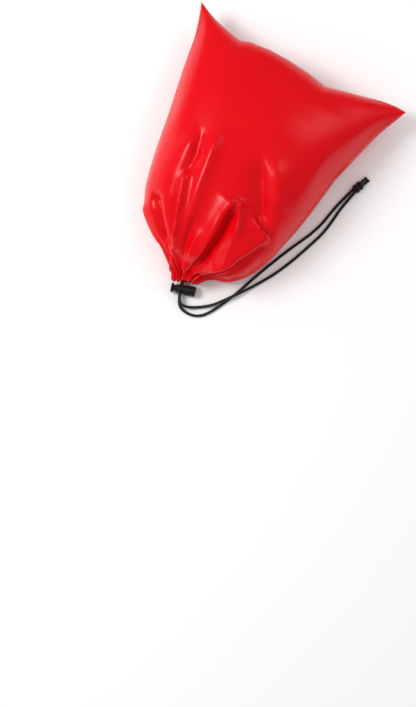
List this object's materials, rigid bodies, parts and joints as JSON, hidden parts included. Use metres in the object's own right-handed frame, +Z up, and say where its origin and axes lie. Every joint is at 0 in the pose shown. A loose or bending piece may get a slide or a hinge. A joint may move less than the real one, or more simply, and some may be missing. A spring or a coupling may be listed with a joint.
{
  "type": "throw rope bag",
  "caption": "Soft coated-fabric drawstring bag, stuffed and cinched shut, lying on its side, with a cord lock sliding on its knotted drawcord.",
  "frame": {"origin": "on the floor, under the middle of the stuffed bag's box, the free cord and its lock left out", "axes": "+Y from the cinched mouth towards the bottom seam, +X along the bottom seam, +Z up, the bag lying on its side"},
  "size_m": [0.2329, 0.2794, 0.0862],
  "materials": {
    "coated_nylon": "satin",
    "sewing_thread": "satin",
    "floating_line": "satin",
    "braided_cord": "matte",
    "moulded_plastic": "satin",
    "spring_steel": "satin"
  },
  "bodies": {
    "bag": {"front_panel": "coated_nylon", "back_panel": "coated_nylon", "front_hem": "coated_nylon", "back_hem": "coated_nylon", "left_seam_allowance": "coated_nylon", "right_seam_allowance": "coated_nylon", "bottom_seam_allowance": "coated_nylon", "left_seam_thread": "sewing_thread", "right_seam_thread": "sewing_thread", "bottom_seam_thread": "sewing_thread", "hem_thread": "sewing_thread", "throw_line": "floating_line", "drawcord_loop": "braided_cord", "drawcord_strand_a": "braided_cord", "drawcord_strand_b": "braided_cord", "end_knot": "braided_cord", "cord_tail_a": "braided_cord", "cord_tail_b": "braided_cord"},
    "cord_lock": {"lock_barrel": "moulded_plastic", "lock_spring": "spring_steel"},
    "push_button": {"lock_plunger": "moulded_plastic"}
  },
  "joints": [
    {"name": "cord_lock_slide", "type": "slide", "parent": "bag", "child": "cord_lock", "axis": [0.3156, -0.9489, 0], "range_m": [0, 0.004]},
    {"name": "plunger_press", "type": "slide", "parent": "cord_lock", "child": "push_button", "axis": [0.9489, 0.3156, 0], "range_m": [0, 0.0022], "stiffness_N_per_m": 2000, "deforming": ["lock_spring"]}
  ]
}
